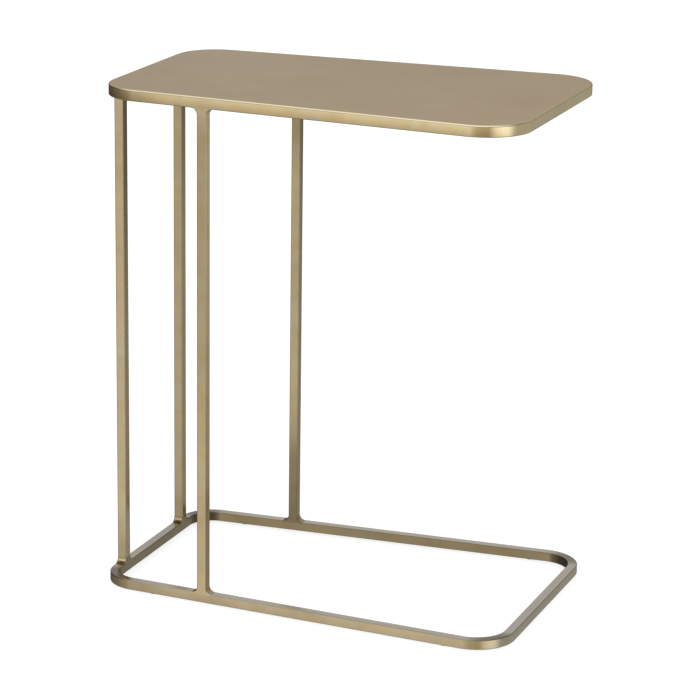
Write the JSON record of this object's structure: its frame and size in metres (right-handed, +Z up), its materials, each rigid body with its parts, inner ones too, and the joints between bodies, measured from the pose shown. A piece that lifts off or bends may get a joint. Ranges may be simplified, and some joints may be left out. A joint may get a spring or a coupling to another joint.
{
  "type": "c shaped side table",
  "caption": "Welded C shaped side table in satin antique brass: rounded trapezoid top on square tube posts at one end, closed floor loop, open end slides over a sofa seat",
  "frame": {"origin": "on the floor, under the middle of the table's bounding box", "axes": "+X from the posts to the open end, +Y across the table to its back, +Z up"},
  "size_m": [0.536, 0.3404, 0.63],
  "materials": {
    "brass_sheet": "steel sheet, fine brushed, satin antique brass plating under clear lacquer",
    "brass_frame": "steel square tube and dressed welds, satin antique brass plating, a little darker in the corners",
    "glide": "dark brown polyethylene, fine matt"
  },
  "bodies": {
    "root": {"top_sheet": "brass_sheet", "top_rim": "brass_frame", "rim_closing_weld": "brass_frame", "top_seam_weld": "brass_frame", "base_loop": "brass_frame", "base_closing_weld": "brass_frame", "post_end_front": "brass_frame", "weld_base_end_front": "brass_frame", "weld_top_end_front": "brass_frame", "post_end_back": "brass_frame", "weld_base_end_back": "brass_frame", "weld_top_end_back": "brass_frame", "post_side_front": "brass_frame", "weld_base_side_front": "brass_frame", "weld_top_side_front": "brass_frame", "post_side_back": "brass_frame", "weld_base_side_back": "brass_frame", "weld_top_side_back": "brass_frame", "glide_post_end_front": "glide", "glide_post_end_back": "glide", "glide_open_end_front": "glide", "glide_open_end_back": "glide"}
  },
  "joints": []
}
